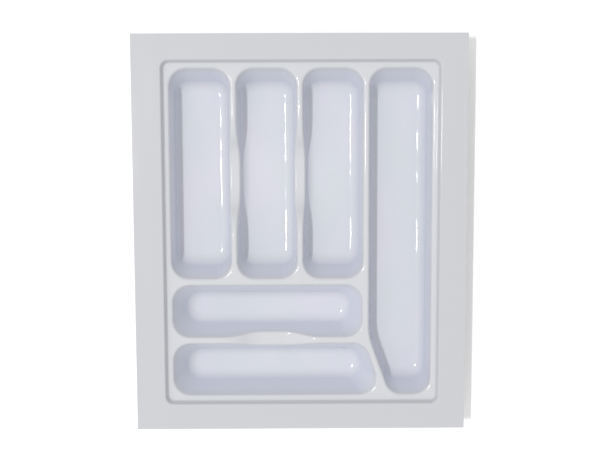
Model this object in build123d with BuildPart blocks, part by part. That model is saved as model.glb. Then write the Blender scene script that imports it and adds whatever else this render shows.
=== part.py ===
"""A cutlery tray drawn from one sheet of gloss plastic: six wells in a sunk deck, inside a flat flange.

The sheet is cut into ten zones that meet face to face, six cells with a well each and four flange strips.
X runs across the tray, Y from front to back and Z up. The undersides of the well floors lie at Z = 0.
"""
from build123d import *
from math import atan, cos, radians, sin, tan
import os

os.makedirs("parts", exist_ok=True)

# Driving sizes of the tray, in millimetres
tray_height = 50.0
sheet = 1.5

# The wells. Their sizes are measured where the walls meet the deck, before the lips are rounded.
well_width = 75.0
well_length = 261.0
long_well_width = 78.0
cross_well_width = 67.0
ridge_width = 7.0
corner_radius = 22.0
bend_radius = 80.0
lip_radius = 3.0
floor_radius = 12.0
side_draft = radians(8)
cross_side_draft = radians(22)
end_draft = radians(24)
corner_draft = radians(8)

# The slant between the long well and the front cross well: how far from the wells' front the ridge bends,
# and what the slanted ridge's centreline leaves of the long well at the front
slant_length = 76.5
narrow_width = 54.5

# The dips in the ridges, where fingers reach under the cutlery, and the margins that they keep from the
# ends of the wells
dip_depth = 24.0
dip_flat = 20.0
dip_front_margin = 52.0
dip_back_margin = 59.0
cross_dip_depth = 12.0
cross_dip_left_margin = 62.0
cross_dip_right_margin = 50.0

# The deck round the wells, sunk below the flange by a small step
deck_land = 6.0
deck_corner_radius = 7.0
step_drop = 8.0
step_radius = 2.0
step_draft = radians(20)

# The flange's strips, from the foot of the step to the sheet's edge
left_strip = 38.5
right_strip = 35.5
end_strip = 34.5

# Where the zones meet, and how much of its half of a ridge a lip may take up
land_seam_share = 0.5
flange_seam_inset = 14.0
lip_share = 0.95

# How far a cutting shape runs past what it cuts, how closely a face's level is matched, and the slope that
# a well's wall has more of than a crest
overrun = 5.0
level_slack = 0.01
crest_slope = radians(45)

# The outlines of the deck and of the flange, and the deck's level
cell_pitch = well_width + ridge_width
deck_width = 3 * cell_pitch + long_well_width + 2 * deck_land
deck_length = well_length + 2 * (cross_well_width + ridge_width) + 2 * deck_land
flange_right = (left_strip + deck_width + right_strip) / 2
flange_left = -flange_right
flange_back = deck_length / 2 + end_strip
flange_front = -flange_back
deck_left = flange_left + left_strip
deck_right = flange_right - right_strip
deck_back = deck_length / 2
deck_front = -deck_back
deck_top = tray_height - step_drop

# The wells' outer rectangle
wells_left = deck_left + deck_land
wells_right = deck_right - deck_land
wells_back = deck_back - deck_land
wells_front = deck_front + deck_land

# Ridge centrelines, from left to right and from front to back
half_ridge = ridge_width / 2
left_ridge_x = wells_left + cell_pitch - half_ridge
right_ridge_x = left_ridge_x + cell_pitch
long_ridge_x = right_ridge_x + cell_pitch
cross_ridge_y = wells_front + cross_well_width + half_ridge
back_ridge_y = cross_ridge_y + cross_well_width + ridge_width
bend_y = wells_front + slant_length
slant_run = long_well_width + half_ridge - narrow_width
slant_angle = atan(slant_run / slant_length)
slant_half_ridge = half_ridge / cos(slant_angle)
lip = min(lip_radius, lip_share * half_ridge / tan((radians(90) - side_draft) / 2))


def slant_x(y):
    """The slanted ridge's centreline at a place along Y."""
    return long_ridge_x + (bend_y - y) * slant_run / slant_length


def box_corners(left, front, right, back):
    """The corners of an upright rectangle, anticlockwise from the front left one."""
    return [(left, front), (right, front), (right, back), (left, back)]


# Each well: its corners at the deck, anticlockwise, each side's draft, front side first, and its corner radii
upright_drafts = [end_draft, side_draft, end_draft, side_draft]
cross_drafts = [cross_side_draft, end_draft, cross_side_draft, end_draft]
four_radii = [corner_radius] * 4
cross_back_y = cross_ridge_y + half_ridge
front_cross_top_y = cross_ridge_y - half_ridge
back_row_y = back_ridge_y + half_ridge
long_well_x = long_ridge_x + half_ridge
bend_drop = half_ridge * tan(slant_angle / 2)
wells = {
    "left_well": (
        box_corners(wells_left, back_row_y, left_ridge_x - half_ridge, wells_back),
        upright_drafts,
        four_radii,
    ),
    "middle_well": (
        box_corners(left_ridge_x + half_ridge, back_row_y, right_ridge_x - half_ridge, wells_back),
        upright_drafts,
        four_radii,
    ),
    "right_well": (
        box_corners(right_ridge_x + half_ridge, back_row_y, long_ridge_x - half_ridge, wells_back),
        upright_drafts,
        four_radii,
    ),
    "back_cross_well": (
        box_corners(wells_left, cross_back_y, long_ridge_x - half_ridge, back_ridge_y - half_ridge),
        cross_drafts,
        four_radii,
    ),
    "front_cross_well": (
        [
            (wells_left, wells_front),
            (slant_x(wells_front) - slant_half_ridge, wells_front),
            (slant_x(front_cross_top_y) - slant_half_ridge, front_cross_top_y),
            (wells_left, front_cross_top_y),
        ],
        cross_drafts,
        four_radii,
    ),
    "long_well": (
        [
            (slant_x(wells_front) + slant_half_ridge, wells_front),
            (wells_right, wells_front),
            (wells_right, wells_back),
            (long_well_x, wells_back),
            (long_well_x, bend_y - bend_drop),
        ],
        upright_drafts + [side_draft],
        four_radii + [bend_radius],
    ),
}

# The deck's outline, and each dip: its place as a plane across the ridge, its length and its depth
deck_corners = box_corners(deck_left, deck_front, deck_right, deck_back)
dip_front = back_row_y + dip_front_margin
dip_back = wells_back - dip_back_margin
dip_y = (dip_front + dip_back) / 2
dip_length = dip_back - dip_front
cross_dip_left = wells_left + cross_dip_left_margin
cross_dip_right = long_ridge_x - half_ridge - cross_dip_right_margin
cross_dip_x = (cross_dip_left + cross_dip_right) / 2
cross_dip_length = cross_dip_right - cross_dip_left
dips = [
    (Plane(origin=(left_ridge_x, dip_y, 0), x_dir=(0, 1, 0), z_dir=(1, 0, 0)), dip_length, dip_depth),
    (Plane(origin=(right_ridge_x, dip_y, 0), x_dir=(0, 1, 0), z_dir=(1, 0, 0)), dip_length, dip_depth),
    (
        Plane(origin=(cross_dip_x, cross_ridge_y, 0), x_dir=(1, 0, 0), z_dir=(0, -1, 0)),
        cross_dip_length,
        cross_dip_depth,
    ),
]


def faces_at(block, level):
    """The flat faces of a block at one level."""
    return block.faces().filter_by_position(Axis.Z, level - level_slack, level + level_slack)


def is_wall(face):
    """Whether a face is a well's wall, by how little it faces up."""
    return abs(face.normal_at().Z) < cos(crest_slope) and face.center().Z < deck_top


def is_crest(face):
    """Whether a face is the deck or the saddle of a dip."""
    return face.normal_at().Z > cos(crest_slope) and sheet + floor_radius < face.center().Z < deck_top + step_drop / 2


def inset(level, draft, lower):
    """How far a drafted wall has moved in at a level, on the face of the sheet that lies lower by that much."""
    return (deck_top - level) * tan(draft) - lower / cos(draft)


def pocket_outline(corners, drafts, radii, level, lower):
    """A pocket's rounded outline at one level, each side and corner moved in by its own draft."""
    insets = [inset(level, draft, lower) for draft in drafts]
    points = []
    rounds = []
    for i, corner in enumerate(corners):
        here = Vector(*corner)
        side_in = (here - Vector(*corners[i - 1])).normalized()
        side_out = (Vector(*corners[(i + 1) % len(corners)]) - here).normalized()
        turn = side_in.cross(side_out).Z
        points.append(here + (side_out * insets[i - 1] - side_in * insets[i]) / turn)
        rounds.append(radii[i] - inset(level, corner_draft, lower))
    with BuildSketch(Plane.XY.offset(level)) as outline:
        with BuildLine():
            FilletPolyline(*points, radius=rounds, close=True)
        make_face()
    return outline.sketch


def dip_outline(plane, length, depth, lower):
    """A dip as seen across the ridge: two shoulders, a valley with a flat foot, and the open top."""
    rise = atan(2 * depth / (length - dip_flat))
    turn = 2 * rise
    radius = (length - dip_flat) / (4 * sin(turn))
    shoulder = radius - lower
    valley = radius + lower
    deck = deck_top - lower
    foot = deck - depth
    start = (length / 2, deck)
    shoulder_middle = (length / 2 - shoulder * sin(rise), deck - shoulder * (1 - cos(rise)))
    meeting = (length / 2 - shoulder * sin(turn), deck - shoulder * (1 - cos(turn)))
    valley_middle = (dip_flat / 2 + valley * sin(rise), foot + valley * (1 - cos(rise)))
    with BuildSketch(plane) as outline:
        with BuildLine():
            Line((0, foot), (dip_flat / 2, foot))
            ThreePointArc((dip_flat / 2, foot), valley_middle, meeting)
            ThreePointArc(meeting, shoulder_middle, start)
            Polyline(start, (length / 2, deck + overrun), (0, deck + overrun))
            mirror(about=Plane.YZ)
        make_face()
    return outline.sketch


def formed_block(lower, reach):
    """A block with the sheet's upper face on top, or with the face that lies lower by the sheet."""
    deck = deck_top - lower
    top = tray_height - lower
    floor = sheet - lower
    with BuildPart() as block:
        with BuildSketch(Plane.XY.offset(-overrun)):
            Rectangle(2 * (flange_right + reach), 2 * (flange_back + reach))
        extrude(amount=top + overrun)

        step_radii = [deck_corner_radius] * 4
        step_drafts = [step_draft] * 4
        levels = (tray_height + overrun, deck)
        step = [pocket_outline(deck_corners, step_drafts, step_radii, level, lower) for level in levels]
        loft(step, ruled=True, mode=Mode.SUBTRACT)
        fillet(faces_at(block, deck).edges(), step_radius + lower)
        fillet(faces_at(block, top).face().inner_wires().edges(), step_radius - lower)

        for corners, drafts, radii in wells.values():
            well = [pocket_outline(corners, drafts, radii, level, lower) for level in (tray_height, floor)]
            loft(well, ruled=True, mode=Mode.SUBTRACT)
        fillet(faces_at(block, floor).edges(), floor_radius + lower)

        for plane, length, depth in dips:
            dip = dip_outline(plane, length, depth, lower)
            extrude(dip, amount=cell_pitch / 2, both=True, mode=Mode.SUBTRACT)
        crests = block.faces().filter_by(is_crest)
        walls = block.faces().filter_by(is_wall)
        fillet(crests.edges() & walls.edges(), lip - lower)
    return block.part


# Zones: the cells meet on the ridges' centrelines, and the flange strips meet the cells on the deck's land
seam_left = wells_left - land_seam_share * deck_land
seam_right = wells_right + land_seam_share * deck_land
seam_back = wells_back + land_seam_share * deck_land
seam_front = wells_front - land_seam_share * deck_land
cut_left = seam_left + flange_seam_inset
cut_right = seam_right - flange_seam_inset
zones = {
    "left_well": box_corners(seam_left, back_ridge_y, left_ridge_x, seam_back),
    "middle_well": box_corners(left_ridge_x, back_ridge_y, right_ridge_x, seam_back),
    "right_well": box_corners(right_ridge_x, back_ridge_y, long_ridge_x, seam_back),
    "back_cross_well": [
        (seam_left, cross_ridge_y),
        (slant_x(cross_ridge_y), cross_ridge_y),
        (long_ridge_x, bend_y),
        (long_ridge_x, back_ridge_y),
        (seam_left, back_ridge_y),
    ],
    "front_cross_well": [
        (seam_left, seam_front),
        (slant_x(seam_front), seam_front),
        (slant_x(cross_ridge_y), cross_ridge_y),
        (seam_left, cross_ridge_y),
    ],
    "long_well": [
        (slant_x(seam_front), seam_front),
        (seam_right, seam_front),
        (seam_right, seam_back),
        (long_ridge_x, seam_back),
        (long_ridge_x, bend_y),
    ],
    "back_flange": box_corners(cut_left, seam_back, cut_right, flange_back),
    "front_flange": box_corners(cut_left, flange_front, cut_right, seam_front),
    "left_flange": [
        (flange_left, flange_front),
        (cut_left, flange_front),
        (cut_left, seam_front),
        (seam_left, seam_front),
        (seam_left, seam_back),
        (cut_left, seam_back),
        (cut_left, flange_back),
        (flange_left, flange_back),
    ],
    "right_flange": [
        (flange_right, flange_back),
        (cut_right, flange_back),
        (cut_right, seam_back),
        (seam_right, seam_back),
        (seam_right, seam_front),
        (cut_right, seam_front),
        (cut_right, flange_front),
        (flange_right, flange_front),
    ],
}

with BuildPart() as tray:
    add(formed_block(lower=0, reach=0))
    add(formed_block(lower=sheet, reach=overrun), mode=Mode.SUBTRACT)

for name, corners in zones.items():
    with BuildPart() as zone:
        with BuildSketch():
            Polygon(*corners, align=None)
        extrude(amount=tray_height)
        add(tray.part, mode=Mode.INTERSECT)
    zone.part.label = name
    export_step(zone.part, f"parts/{name}.step")
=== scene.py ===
"""The looks of a white plastic drawer tray for cutlery: one formed sheet, shown as its ten zones."""
import math

import bmesh
import bpy
from mathutils import Matrix, Vector


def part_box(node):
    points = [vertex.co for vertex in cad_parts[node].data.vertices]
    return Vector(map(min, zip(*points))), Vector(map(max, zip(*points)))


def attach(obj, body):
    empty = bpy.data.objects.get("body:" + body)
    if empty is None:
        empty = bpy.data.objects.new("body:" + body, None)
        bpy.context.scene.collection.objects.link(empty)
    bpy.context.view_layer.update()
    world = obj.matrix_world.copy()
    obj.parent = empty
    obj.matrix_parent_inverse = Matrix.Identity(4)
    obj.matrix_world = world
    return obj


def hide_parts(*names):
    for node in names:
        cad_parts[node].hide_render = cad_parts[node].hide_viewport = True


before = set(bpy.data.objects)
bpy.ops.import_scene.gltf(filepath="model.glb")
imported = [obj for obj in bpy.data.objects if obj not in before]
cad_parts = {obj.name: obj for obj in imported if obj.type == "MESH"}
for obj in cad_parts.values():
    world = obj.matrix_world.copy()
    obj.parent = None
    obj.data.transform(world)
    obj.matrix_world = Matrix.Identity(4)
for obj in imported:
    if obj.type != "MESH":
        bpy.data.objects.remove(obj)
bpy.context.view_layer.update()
bpy.ops.object.select_all(action="DESELECT")


# The sheet. White impact polystyrene with the gloss that it got between polished rollers, drawn hot into a
# mould. It is thinnest where it was drawn deepest. Its colour holds painted light: the deck is painted
# lighter than the flange, the wells a cooler lilac the deeper they go as painted bounce light, in soft
# bands of two tints, and their steep walls a stronger lilac as painted shade. Every zone wears it.
sheet = 0.0015
# The flange's white, and the deck's white painted lighter against the shade that the step throws on it
flange_white = (0.582, 0.590, 0.614, 1.0)
deck_painted_light_white = (0.638, 0.645, 0.674, 1.0)
# The wells' whites, cooler the deeper they are drawn: painted bounce light
well_white_painted_bounce = (0.640, 0.666, 0.708, 1.0)
well_lilac_painted_bounce = (0.664, 0.668, 0.730, 1.0)
# The steep walls' lilac, a painted shade
wall_lilac_painted_shade = (0.655, 0.672, 0.756, 1.0)
flange_level = 0.050
deck_level = 0.042
drawn_fully = 0.012
wall_slopes = (0.85, 0.45)
refraction = 1.56
gloss_level = 0.36
unstretched = (1, 1, 1)
stretched_along_y = (1, 0.4, 1)
patch_scale = 16
patch_edges = (0.40, 0.60)

plastic = bpy.data.materials.new("white_polystyrene")
plastic.use_nodes = True
nodes, links = plastic.node_tree.nodes, plastic.node_tree.links
shader = nodes["Principled BSDF"]
shader.inputs["IOR"].default_value = refraction
shader.inputs["Specular IOR Level"].default_value = gloss_level
place = nodes.new("ShaderNodeTexCoord")
axes = nodes.new("ShaderNodeSeparateXYZ")
links.new(place.outputs["Object"], axes.inputs["Vector"])
face = nodes.new("ShaderNodeSeparateXYZ")
links.new(nodes.new("ShaderNodeNewGeometry").outputs["Normal"], face.inputs["Vector"])
drawn_down = nodes.new("ShaderNodeAttribute")
drawn_down.attribute_name = "drawn_down"


def plain_noise(scale, detail, stretch):
    """A noise over the sheet, that may be stretched along an axis."""
    mapping = nodes.new("ShaderNodeMapping")
    mapping.inputs["Scale"].default_value = stretch
    noise = nodes.new("ShaderNodeTexNoise")
    noise.inputs["Scale"].default_value = scale
    noise.inputs["Detail"].default_value = detail
    links.new(place.outputs["Object"], mapping.inputs["Vector"])
    links.new(mapping.outputs["Vector"], noise.inputs["Vector"])
    return noise.outputs["Fac"]


def ranged(value, low, high, to_low, to_high):
    """A value brought from one range to another, and held at its ends."""
    bounds = nodes.new("ShaderNodeMapRange")
    bounds.inputs["From Min"].default_value = low
    bounds.inputs["From Max"].default_value = high
    bounds.inputs["To Min"].default_value = to_low
    bounds.inputs["To Max"].default_value = to_high
    links.new(value, bounds.inputs["Value"])
    return bounds.outputs["Result"]


def mixed(factor, first, second):
    """A mix of two colours, each written out or from another node."""
    mix = nodes.new("ShaderNodeMix")
    mix.data_type = "RGBA"
    links.new(factor, mix.inputs["Factor"])
    for socket, colour in (("A", first), ("B", second)):
        if isinstance(colour, tuple):
            mix.inputs[socket].default_value = colour
        else:
            links.new(colour, mix.inputs[socket])
    return mix.outputs["Result"]


# Painted bounce light: deeper into the wells the white turns a cooler lilac, in soft bands of two tints
# stretched along Y.
patches = ranged(plain_noise(patch_scale, 2, stretched_along_y), *patch_edges, 0, 1)
drawn = ranged(drawn_down.outputs["Fac"], 0, drawn_fully, 0, 1)
# Painted light: the step and the deck below the flange's level are painted lighter than the flange.
painted_light_below_flange = ranged(axes.outputs["Z"], flange_level, deck_level, 0, 1)
undrawn_white_painted_light = mixed(painted_light_below_flange, flange_white, deck_painted_light_white)
# Painted shade: the steep walls are painted a stronger lilac than the floors.
steep = ranged(face.outputs["Z"], *wall_slopes, 0, 1)
well_colour_painted_bounce = mixed(steep, mixed(patches, well_white_painted_bounce, well_lilac_painted_bounce), wall_lilac_painted_shade)
links.new(mixed(drawn, undrawn_white_painted_light, well_colour_painted_bounce), shader.inputs["Base Color"])

# The gloss: rollers leave it even, and handling dulls it in small streaks
streak_scale = 60
streak_stretch = (1, 0.12, 1)
streak_edges = (0.35, 0.75)
even_roughness = 0.08
dulled_roughness = 0.13
streaks = plain_noise(streak_scale, 4, streak_stretch)
links.new(ranged(streaks, *streak_edges, even_roughness, dulled_roughness), shader.inputs["Roughness"])

# The face: slow waves from front to back where the sheet cooled on the mould, small ones, and a fine orange
# peel, each with its scale, detail, height and stretch. The steep walls and the flange stayed flatter.
slow_waves = (9, 1, 0.0140, (0.4, 1, 1))
small_waves = (30, 1, 0.0008, unstretched)
orange_peel = (600, 2, 0.000004, unstretched)
loose_slopes = (0.35, 0.75)
undrawn_share = 0.12
loose = nodes.new("ShaderNodeMath")
loose.operation = "MULTIPLY"
links.new(ranged(face.outputs["Z"], *loose_slopes, 0, 1), loose.inputs[0])
links.new(ranged(drawn_down.outputs["Fac"], 0, drawn_fully, undrawn_share, 1), loose.inputs[1])
normal = None
for scale, detail, height, stretch in (slow_waves, small_waves, orange_peel):
    bump = nodes.new("ShaderNodeBump")
    bump.inputs["Distance"].default_value = height
    links.new(loose.outputs["Value"], bump.inputs["Strength"])
    links.new(plain_noise(scale, detail, stretch), bump.inputs["Height"])
    if normal:
        links.new(normal, bump.inputs["Normal"])
    normal = bump.outputs["Normal"]
links.new(normal, shader.inputs["Normal"])


# The equal wells, three pockets side by side for knives, forks and spoons. Each is drawn down from the deck
# with leaning walls, round corners, a soft lip and a large round at its floor. Its zone of the sheet runs
# from the middle of one ridge to the middle of the next.
deck_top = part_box("left_well")[1].z
floor_top = sheet
corner_radius = 0.022
lip_radius = 0.003
floor_radius = 0.012
ridge_width = 0.007
half_ridge = ridge_width / 2
deck_land = 0.006
land_seam = deck_land / 2
side_draft = math.radians(8)
end_draft = math.radians(24)
corner_draft = math.radians(8)
corner_steps = 20
lip_steps = 8
floor_steps = 12
skirt_width = 0.03
touch = 0.00001
crease_angle = math.radians(40)
dip_depth = 0.024
dip_flat = 0.020
dip_front_margin = 0.052
dip_back_margin = 0.059
dip_steps = 10


def corner_arcs(corners, radii):
    """Each corner's round, anticlockwise: centre, radius, turn, ends and both sides' inward normals."""
    arcs = []
    for i, corner in enumerate(corners):
        side_in = (corner - corners[i - 1]).normalized()
        side_out = (corners[(i + 1) % len(corners)] - corner).normalized()
        turn = side_in.angle(side_out)
        reach = radii[i] * math.tan(turn / 2)
        normal_in = Vector((-side_in.y, side_in.x))
        start = corner - side_in * reach
        arcs.append({
            "centre": start + normal_in * radii[i],
            "radius": radii[i],
            "turn": turn,
            "start": start,
            "end": corner + side_out * reach,
            "normal_in": normal_in,
            "normal_out": Vector((-side_out.y, side_out.x)),
        })
    return arcs


def pick(piece, wanted):
    """Selects the vertices of a piece that a test wants, with the edges and faces between them."""
    mesh = bmesh.from_edit_mesh(piece.data)
    chosen = [vertex for vertex in mesh.verts if wanted(vertex)]
    bpy.ops.mesh.select_all(action="DESELECT")
    for vertex in chosen:
        vertex.select = True
    mesh.select_flush_mode()


def pick_faces(piece, wanted):
    """Selects the faces of a piece that a test wants, and returns how many they are."""
    mesh = bmesh.from_edit_mesh(piece.data)
    chosen = [face for face in mesh.faces if wanted(face)]
    bpy.ops.mesh.select_all(action="DESELECT")
    for face in chosen:
        face.select_set(True)
    return len(chosen)


def pick_creases(piece, level):
    """Selects the edges at one level where two faces meet at a marked angle."""
    mesh = bmesh.from_edit_mesh(piece.data)
    chosen = [
        edge for edge in mesh.edges
        if all(abs(vertex.co.z - level) < touch for vertex in edge.verts)
        and len(edge.link_faces) == 2
        and edge.calc_face_angle() > crease_angle
    ]
    bpy.ops.mesh.select_all(action="DESELECT")
    for edge in chosen:
        edge.select_set(True)


def draw_outline(name, arcs, level):
    """Draws a rounded outline at a level, straight sides first and then a spun arc at each corner."""
    ends = [place for arc in arcs for place in (arc["start"], arc["end"])]
    bpy.ops.mesh.primitive_circle_add(vertices=len(ends), radius=corner_radius, enter_editmode=True)
    piece = bpy.context.object
    piece.name = name
    for i, place in enumerate(ends):
        mesh = bmesh.from_edit_mesh(piece.data)
        mesh.verts.ensure_lookup_table()
        move = Vector((place.x, place.y, level)) - mesh.verts[i].co
        pick(piece, lambda vertex: vertex.index == i)
        bpy.ops.transform.translate(value=move)
    mesh = bmesh.from_edit_mesh(piece.data)
    bpy.ops.mesh.select_all(action="DESELECT")
    for edge in mesh.edges:
        first, last = sorted(vertex.index for vertex in edge.verts)
        edge.select_set(first % 2 == 0 and last == first + 1)
    bpy.ops.mesh.delete(type="EDGE")
    for arc in arcs:
        pick(piece, lambda vertex: (vertex.co.xy - arc["start"]).length < touch)
        centre = (arc["centre"].x, arc["centre"].y, level)
        bpy.ops.mesh.spin(steps=corner_steps, angle=-arc["turn"], center=centre, axis=(0, 0, 1))
    bpy.ops.mesh.select_all(action="SELECT")
    bpy.ops.mesh.remove_doubles(threshold=touch)
    return piece


def spread(piece, arcs, insets, corner_inset):
    """Moves the selected outline's sides and corner rounds in by their insets, and returns its arcs."""
    mesh = bmesh.from_edit_mesh(piece.data)
    outline = {vertex.index: vertex.co.xy for vertex in mesh.verts if vertex.select}
    on_arcs = set()
    moved = []
    for i, arc in enumerate(arcs):
        away = [insets[i - 1] - corner_inset, insets[i] - corner_inset]
        shift = Matrix((arc["normal_in"], arc["normal_out"])).inverted() @ Vector(away)
        share = (arc["radius"] - corner_inset) / arc["radius"]
        reach = (arc["end"] - arc["start"]).length
        here = {
            index for index, place in outline.items()
            if abs((place - arc["centre"]).length - arc["radius"]) < touch
            and max((place - arc["start"]).length, (place - arc["end"]).length) < reach + touch
        }
        on_arcs |= here
        pick(piece, lambda vertex: vertex.index in here)
        bpy.ops.transform.resize(value=(share, share, 1), center_override=(*arc["centre"], deck_top))
        bpy.ops.transform.translate(value=(*shift, 0))
        centre = arc["centre"] + shift
        moved.append(dict(
            arc,
            centre=centre,
            radius=arc["radius"] - corner_inset,
            start=centre + (arc["start"] - arc["centre"]) * share,
            end=centre + (arc["end"] - arc["centre"]) * share,
        ))
    for i, arc in enumerate(arcs):
        here = {
            index for index, place in outline.items()
            if index not in on_arcs and abs((place - arc["end"]).dot(arc["normal_out"])) < touch
        }
        if here:
            pick(piece, lambda vertex: vertex.index in here)
            bpy.ops.transform.translate(value=(*(arc["normal_out"] * insets[i]), 0))
    pick(piece, lambda vertex: vertex.index in outline)
    return moved


def cut(piece, point, outward, wanted, clear=True):
    """Cuts the wanted faces along an upright plane, and may clear what lies outside it."""
    if pick_faces(piece, wanted):
        bpy.ops.mesh.bisect(
            plane_co=(*point, deck_top), plane_no=(*outward, 0), clear_outer=clear, threshold=touch / 10
        )


def on_deck(face):
    """Whether a face lies flat on the deck."""
    return all(abs(vertex.co.z - deck_top) < touch for vertex in face.verts)


def dip_stations(length, depth):
    """A dip's stations, each a place from its middle and a fall: two arcs, a flat foot, and up again."""
    rise = math.atan(2 * depth / (length - dip_flat))
    radius = (length - dip_flat) / (4 * math.sin(2 * rise))
    half = []
    for i in range(dip_steps + 1):
        angle = 2 * rise * i / dip_steps
        along, fall = radius * math.sin(angle), radius * (1 - math.cos(angle))
        half.append((length / 2 - along, fall))
        if i < dip_steps:
            half.append((dip_flat / 2 + along, depth - fall))
    return half + [(-along, fall) for along, fall in half]


def press_dip(piece, side_point, inward, along, stations, draft):
    """Lowers a ridge's half along a dip. The lip keeps to its wall, and the middle goes straight down."""
    slide = Vector((*(inward * math.tan(draft)), -1))
    for place, fall in stations:
        if fall < touch:
            continue

        def at_station(vertex, near, far):
            offset = vertex.co.xy - side_point
            return (
                abs(offset.dot(along) - place) < touch
                and near - touch < offset.dot(inward) < far
                and vertex.co.z > deck_top - lip_radius
            )

        pick(piece, lambda vertex: at_station(vertex, -half_ridge, -half_ridge + touch))
        bpy.ops.transform.translate(value=(0, 0, -fall))
        pick(piece, lambda vertex: at_station(vertex, -half_ridge + 2 * touch, lip_radius))
        bpy.ops.transform.translate(value=slide * fall)


def form_well(node, corners, drafts, trim, dips=(), radii=None):
    """Forms one well's zone of the sheet. A dip is a side's number, its middle and its stations."""
    arcs = corner_arcs(corners, radii or [corner_radius] * len(corners))
    piece = draw_outline(node + "_sheet", arcs, deck_top)
    bpy.ops.mesh.edge_face_add()
    dipped = []
    for number, middle, stations in dips:
        inward = arcs[number]["normal_out"]
        along = Vector((inward.y, -inward.x))
        side_point = middle - inward * (middle - corners[number]).dot(inward)
        dipped.append((side_point, inward, along, stations, drafts[number]))
    for side_point, inward, along, stations, draft in dipped:
        for place, fall in stations:
            bpy.ops.mesh.select_all(action="SELECT")
            bpy.ops.mesh.bisect(
                plane_co=(*(side_point + along * place), deck_top), plane_no=(*along, 0), threshold=touch
            )

    # The walls and the floor, and a skirt at the deck that reaches past the zone's corners
    drop = deck_top - floor_top
    bpy.ops.mesh.select_all(action="SELECT")
    bpy.ops.mesh.extrude_region_move(TRANSFORM_OT_translate={"value": (0, 0, -drop)})
    spread(piece, arcs, [drop * math.tan(draft) for draft in drafts], drop * math.tan(corner_draft))
    pick_faces(piece, on_deck)
    bpy.ops.mesh.delete(type="FACE")
    pick(piece, lambda vertex: abs(vertex.co.z - deck_top) < touch)
    bpy.ops.mesh.extrude_region_move()
    spread(piece, arcs, [-skirt_width] * len(arcs), -skirt_width)

    # The rounds of the lip and of the floor
    most_turn = math.radians(90) - min(drafts)
    lip_round = (deck_top, lip_radius, lip_steps)
    floor_round = (floor_top, floor_radius, floor_steps)
    for level, radius, steps in (lip_round, floor_round):
        pick_creases(piece, level)
        bpy.ops.mesh.bevel(
            offset=radius * math.tan(most_turn / 2), segments=steps, profile=0.5, affect="EDGES",
            clamp_overlap=False, loop_slide=True,
        )
    trim(piece)
    mesh = bmesh.from_edit_mesh(piece.data)
    drawn_down = mesh.verts.layers.float.new("drawn_down")
    for vertex in mesh.verts:
        vertex[drawn_down] = deck_top - vertex.co.z
    for side in dipped:
        press_dip(piece, *side)
    return piece


def harden(piece, node):
    """Gives a zone the sheet's thickness below its face, its smoothness, its finish and its place."""
    bpy.ops.mesh.select_all(action="SELECT")
    bpy.ops.mesh.remove_doubles(threshold=touch / 10)
    bpy.ops.mesh.normals_make_consistent(inside=False)
    mesh = bmesh.from_edit_mesh(piece.data)
    if max(mesh.faces, key=lambda face: face.calc_area()).normal.z < 0:
        bpy.ops.mesh.flip_normals()
    bpy.ops.object.mode_set(mode="OBJECT")
    solidify = piece.modifiers.new("thickness", "SOLIDIFY")
    solidify.thickness = sheet
    solidify.offset = -1
    solidify.use_even_offset = True
    solidify.use_quality_normals = True
    bpy.ops.object.modifier_apply(modifier=solidify.name)
    bpy.ops.object.shade_smooth_by_angle(angle=crease_angle)
    weighted = piece.modifiers.new("flat faces lead", "WEIGHTED_NORMAL")
    weighted.keep_sharp = True
    bpy.ops.object.modifier_apply(modifier=weighted.name)
    piece.data.materials.append(plastic)
    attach(piece, "root")
    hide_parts(node)
    bpy.ops.object.select_all(action="DESELECT")


def sides(left, front, right, back):
    """The sides of an upright rectangle, each as a point on it and its outward direction."""
    return ((left, 0), (-1, 0)), ((right, 0), (1, 0)), ((0, front), (0, -1)), ((0, back), (0, 1))


def trim_to_box(node):
    """A trim that cuts a well's skirt along the sides of its zone's box."""
    low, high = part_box(node)

    def trim(piece):
        for point, outward in sides(low.x, low.y, high.x, high.y):
            cut(piece, point, outward, on_deck)
    return trim


def box_corners(left, front, right, back):
    """The corners of an upright rectangle, anticlockwise from the front left one."""
    return [Vector(place) for place in ((left, front), (right, front), (right, back), (left, back))]


wells_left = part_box("left_well")[0].x + land_seam
wells_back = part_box("left_well")[1].y - land_seam
left_ridge_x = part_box("left_well")[1].x
right_ridge_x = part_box("middle_well")[1].x
long_ridge_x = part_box("right_well")[1].x
back_ridge_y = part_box("left_well")[0].y
row_front = back_ridge_y + half_ridge
upright_drafts = [end_draft, side_draft, end_draft, side_draft]
dip_front = row_front + dip_front_margin
dip_back = wells_back - dip_back_margin
dip_middle = Vector((0, (dip_front + dip_back) / 2))
row_stations = dip_stations(dip_back - dip_front, dip_depth)
equal_wells = {
    "left_well": (wells_left, left_ridge_x - half_ridge, [1]),
    "middle_well": (left_ridge_x + half_ridge, right_ridge_x - half_ridge, [1, 3]),
    "right_well": (right_ridge_x + half_ridge, long_ridge_x - half_ridge, [3]),
}
for node, (left, right, dipped_sides) in equal_wells.items():
    well = form_well(
        node, box_corners(left, row_front, right, wells_back), upright_drafts,
        dips=[(side, dip_middle, row_stations) for side in dipped_sides], trim=trim_to_box(node),
    )
    harden(well, node)


# The cross wells, two pockets in front with gently leaning walls, and one dip in the ridge between them.
# The front one ends on the right at the slanted ridge, which starts at the bend beside the long well.
cross_side_draft = math.radians(22)
cross_dip_depth = 0.012
cross_dip_left_margin = 0.062
cross_dip_right_margin = 0.050
slant_length = 0.0765
narrow_width = 0.0545
cross_drafts = [cross_side_draft, end_draft, cross_side_draft, end_draft]
wells_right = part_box("long_well")[1].x - land_seam
wells_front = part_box("long_well")[0].y + land_seam
cross_ridge_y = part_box("back_cross_well")[0].y
bend = Vector((long_ridge_x, wells_front + slant_length))
slant_foot = Vector((wells_right - narrow_width, wells_front))
slant_side = (slant_foot - bend).normalized()
slant_right = Vector((-slant_side.y, slant_side.x))


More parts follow.
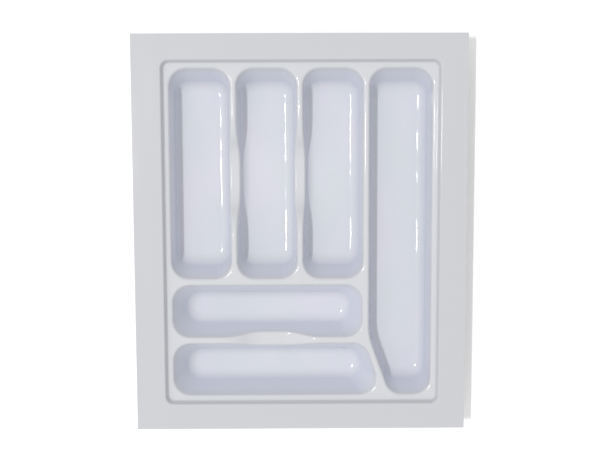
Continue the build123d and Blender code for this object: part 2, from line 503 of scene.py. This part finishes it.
def slant_place(y, offset):
    """The place at one Y on a line beside the slanted ridge's middle, offset to its right."""
    start = bend + slant_right * offset
    return start + slant_side * ((y - start.y) / slant_side.y)


cross_dip_left = wells_left + cross_dip_left_margin
cross_dip_right = long_ridge_x - half_ridge - cross_dip_right_margin
cross_dip_middle = Vector(((cross_dip_left + cross_dip_right) / 2, cross_ridge_y))
cross_stations = dip_stations(cross_dip_right - cross_dip_left, cross_dip_depth)


def behind_bend(face):
    """Whether a face lies behind the line across the tray at the bend."""
    return face.calc_center_median().y > bend.y


def right_of_ridge(face):
    """Whether a face of the deck lies right of the long well's ridge, slanted before the bend."""
    outward = Vector((1, 0)) if behind_bend(face) else slant_right
    return on_deck(face) and (face.calc_center_median().xy - bend).dot(outward) > 0


def trim_back_cross(piece):
    """Cuts the back cross well's skirt along its straight sides, and on the right along the bend."""
    cut(piece, (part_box("back_cross_well")[0].x, 0), (-1, 0), on_deck)
    cut(piece, (0, back_ridge_y), (0, 1), on_deck)
    cut(piece, (0, cross_ridge_y), (0, -1), on_deck)
    cut(piece, bend, (0, 1), on_deck, clear=False)
    cut(piece, bend, (1, 0), lambda face: on_deck(face) and behind_bend(face), clear=False)
    cut(piece, bend, slant_right, lambda face: on_deck(face) and not behind_bend(face), clear=False)
    pick_faces(piece, right_of_ridge)
    bpy.ops.mesh.delete(type="FACE")


def trim_front_cross(piece):
    """Cuts the front cross well's skirt along its straight sides and the slanted ridge."""
    cut(piece, (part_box("front_cross_well")[0].x, 0), (-1, 0), on_deck)
    cut(piece, (0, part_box("front_cross_well")[0].y), (0, -1), on_deck)
    cut(piece, (0, cross_ridge_y), (0, 1), on_deck)
    cut(piece, bend, slant_right, on_deck)


back_cross_front = cross_ridge_y + half_ridge
back_cross = form_well(
    "back_cross_well",
    box_corners(wells_left, back_cross_front, long_ridge_x - half_ridge, back_ridge_y - half_ridge),
    cross_drafts, dips=[(0, cross_dip_middle, cross_stations)], trim=trim_back_cross,
)
harden(back_cross, "back_cross_well")
front_cross_back = cross_ridge_y - half_ridge
front_cross = form_well(
    "front_cross_well",
    [
        Vector((wells_left, wells_front)),
        slant_place(wells_front, -half_ridge),
        slant_place(front_cross_back, -half_ridge),
        Vector((wells_left, front_cross_back)),
    ],
    cross_drafts, dips=[(2, cross_dip_middle, cross_stations)], trim=trim_front_cross,
)
harden(front_cross, "front_cross_well")


# The long well for ladles and carving knives, one pocket the whole length of the deck on the right. It
# narrows towards the front, where its wall bends round the slanted ridge in a wide curve.
bend_radius = 0.080


def trim_long(piece):
    """Cuts the long well's skirt along its zone's straight sides and the slanted ridge."""
    trim_to_box("long_well")(piece)
    cut(piece, bend, -slant_right, on_deck)


bend_turn = slant_side.angle(Vector((0, -1)))
long_left = long_ridge_x + half_ridge
long_well = form_well(
    "long_well",
    [
        slant_place(wells_front, half_ridge),
        Vector((wells_right, wells_front)),
        Vector((wells_right, wells_back)),
        Vector((long_left, wells_back)),
        Vector((long_left, bend.y - half_ridge * math.tan(bend_turn / 2))),
    ],
    upright_drafts + [side_draft], radii=[corner_radius] * 4 + [bend_radius], trim=trim_long,
)
harden(long_well, "long_well")


# The flange, the flat border that the owner trims to fit the drawer, and the small step down from it to the
# deck. It is the part of the sheet beside the mould's hollows, and its edge is cut square.
flange_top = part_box("left_flange")[1].z
deck_corner_radius = 0.007
step_radius = 0.002
step_draft = math.radians(20)
step_steps = 6
flange_reach = 0.08
sheet_left, sheet_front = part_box("left_flange")[0].xy
sheet_right, sheet_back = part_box("right_flange")[1].xy
cut_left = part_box("left_flange")[1].x
cut_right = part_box("right_flange")[0].x
seam_left, seam_front = wells_left - land_seam, wells_front - land_seam
seam_right, seam_back = wells_right + land_seam, wells_back + land_seam

deck_corners = box_corners(
    wells_left - deck_land, wells_front - deck_land, wells_right + deck_land, wells_back + deck_land
)
deck_arcs = corner_arcs(deck_corners, [deck_corner_radius] * 4)
border = draw_outline("border", deck_arcs, deck_top)
bpy.ops.mesh.extrude_region_move()
spread(border, deck_arcs, [deck_land] * 4, deck_land)


def on_rounds(vertex):
    """Whether a vertex lies on one of the deck's corner rounds, as all of its outline's vertices do."""
    return any(abs((vertex.co.xy - arc["centre"]).length - arc["radius"]) < touch for arc in deck_arcs)


pick(border, on_rounds)
step_drop = flange_top - deck_top
bpy.ops.mesh.extrude_region_move(TRANSFORM_OT_translate={"value": (0, 0, step_drop)})
step_out = step_drop * math.tan(step_draft)
step_arcs = spread(border, deck_arcs, [-step_out] * 4, -step_out)
bpy.ops.mesh.extrude_region_move()
spread(border, step_arcs, [-flange_reach] * 4, -flange_reach)
step_turn = math.radians(90) - step_draft
for level in (deck_top, flange_top):
    pick_creases(border, level)
    bpy.ops.mesh.bevel(
        offset=step_radius * math.tan(step_turn / 2), segments=step_steps, profile=0.5, affect="EDGES",
        clamp_overlap=False, loop_slide=True,
    )
for point, outward in sides(sheet_left, sheet_front, sheet_right, sheet_back):
    cut(border, point, outward, lambda face: True)
for point, outward in sides(seam_left, seam_front, seam_right, seam_back):
    cut(border, point, outward, on_deck, clear=False)


def inside_seams(face):
    """Whether a face of the deck lies inside the seams, where the wells' zones are."""
    middle = face.calc_center_median()
    return on_deck(face) and seam_left < middle.x < seam_right and seam_front < middle.y < seam_back


pick_faces(border, inside_seams)
bpy.ops.mesh.delete(type="FACE")
bpy.ops.object.mode_set(mode="OBJECT")

strips = {
    "left_flange": (((cut_left, 0), (1, 0)),),
    "right_flange": (((cut_right, 0), (-1, 0)),),
    "back_flange": (((cut_left, 0), (-1, 0)), ((cut_right, 0), (1, 0)), ((0, 0), (0, -1))),
    "front_flange": (((cut_left, 0), (-1, 0)), ((cut_right, 0), (1, 0)), ((0, 0), (0, 1))),
}
for node, cuts in strips.items():
    strip = border.copy()
    strip.data = border.data.copy()
    strip.name = node + "_sheet"
    bpy.context.scene.collection.objects.link(strip)
    bpy.ops.object.select_all(action="DESELECT")
    strip.select_set(True)
    bpy.context.view_layer.objects.active = strip
    bpy.ops.object.mode_set(mode="EDIT")
    for point, outward in cuts:
        cut(strip, point, outward, lambda face: True)
    harden(strip, node)
bpy.data.objects.remove(border)


# The stage, a sheet of white paper just under the tray. The camera, a mirror and a clear thing see it a
# little whiter than the lamp makes it, and the tray's shadow stays on it.
floor_size = 6.0
floor_gap = 0.0002
paper_white = (0.86, 0.86, 0.86, 1.0)
paper_seen = (1.12, 1.12, 1.12, 1.0)
bpy.ops.mesh.primitive_plane_add(size=floor_size, location=(0, 0, -floor_gap))
floor = bpy.context.object
floor.name = "floor"
paper = bpy.data.materials.new("white_paper")
paper.use_nodes = True
nodes, links = paper.node_tree.nodes, paper.node_tree.links
paper_shader = nodes["Principled BSDF"]
paper_shader.inputs["Roughness"].default_value = 1.0
paper_shader.inputs["Specular IOR Level"].default_value = 0.0
rays = nodes.new("ShaderNodeLightPath")
mirrored = nodes.new("ShaderNodeMath")
mirrored.operation = "MAXIMUM"
seen = nodes.new("ShaderNodeMath")
seen.operation = "MAXIMUM"
whiter = nodes.new("ShaderNodeMix")
whiter.data_type = "RGBA"
whiter.inputs["A"].default_value = paper_white
whiter.inputs["B"].default_value = paper_seen
links.new(rays.outputs["Is Glossy Ray"], mirrored.inputs[0])
links.new(rays.outputs["Is Transmission Ray"], mirrored.inputs[1])
links.new(rays.outputs["Is Camera Ray"], seen.inputs[0])
links.new(mirrored.outputs[0], seen.inputs[1])
links.new(seen.outputs[0], whiter.inputs["Factor"])
links.new(whiter.outputs["Result"], paper_shader.inputs["Base Color"])
floor.data.materials.append(paper)

# The studio's light: a pale room with a ceiling brighter than its walls, so that the flat faces are light
# and the steep ones dark, and a narrow lamp high on the left that draws bright lines along the rounds
ceiling_strength = 0.81
wall_strength = 0.52
wall_top = 0.25
ceiling_edge = 0.80
brightest = Vector((-0.20, -0.14, 0.97))
world = bpy.data.worlds.new("studio")
bpy.context.scene.world = world
world.use_nodes = True
nodes, links = world.node_tree.nodes, world.node_tree.links
room_place = nodes.new("ShaderNodeTexCoord")
room_height = nodes.new("ShaderNodeVectorMath")
room_height.operation = "DOT_PRODUCT"
room_height.inputs[1].default_value = brightest.normalized()
room_rise = nodes.new("ShaderNodeMapRange")
room_rise.interpolation_type = "SMOOTHSTEP"
room_rise.inputs["From Min"].default_value = wall_top
room_rise.inputs["From Max"].default_value = ceiling_edge
room_rise.inputs["To Min"].default_value = wall_strength
room_rise.inputs["To Max"].default_value = ceiling_strength
links.new(room_place.outputs["Generated"], room_height.inputs[0])
links.new(room_height.outputs["Value"], room_rise.inputs["Value"])
links.new(room_rise.outputs["Result"], nodes["Background"].inputs["Strength"])
nodes["Background"].inputs["Color"].default_value = (1.0, 1.0, 1.0, 1.0)

lamp_place = Vector((-1.62, 0.17, 4.9))
lamp_width = 0.12
lamp_length = 0.60
lamp_power = 102
lamp_data = bpy.data.lights.new("strip_lamp", "AREA")
lamp_data.shape = "RECTANGLE"
lamp_data.size = lamp_width
lamp_data.size_y = lamp_length
lamp_data.energy = lamp_power
lamp = bpy.data.objects.new("strip_lamp", lamp_data)
lamp_back = (lamp_place - Vector((0, 0, flange_top))).normalized()
lamp_right = Vector((0, 1, 0)).cross(lamp_back).normalized()
lamp.matrix_world = Matrix.Translation(lamp_place) @ (
    Matrix((lamp_right, lamp_back.cross(lamp_right), lamp_back)).transposed().to_4x4()
)
bpy.context.scene.collection.objects.link(lamp)

# The camera, above the tray and a little towards its back, as in the photograph
camera_range = 1.140
camera_tilt = math.radians(5.5)
camera_yaw = math.radians(0.3)
camera_roll = math.radians(0.2)
camera_target = Vector((-0.0003, 0.0040, flange_top))
photo_scale = 0.001233
photo_width = 600
sensor_width = 36
towards_back = math.sin(camera_tilt)
upwards = math.cos(camera_tilt)
back_of_camera = Vector((-math.sin(camera_yaw), towards_back, upwards)).normalized()
camera_data = bpy.data.cameras.new("camera")
camera = bpy.data.objects.new("camera", camera_data)
bpy.context.scene.collection.objects.link(camera)
camera_data.sensor_width = sensor_width
camera_data.lens = sensor_width * camera_range / photo_scale / photo_width
level_right = Vector((0, 1, 0)).cross(back_of_camera).normalized()
level_up = back_of_camera.cross(level_right)
right = level_right * math.cos(camera_roll) - level_up * math.sin(camera_roll)
up = back_of_camera.cross(right)
camera.matrix_world = Matrix.Translation(camera_target + back_of_camera * camera_range) @ (
    Matrix((right, up, back_of_camera)).transposed().to_4x4()
)
bpy.context.scene.camera = camera
bpy.context.scene.view_settings.view_transform = "Standard"
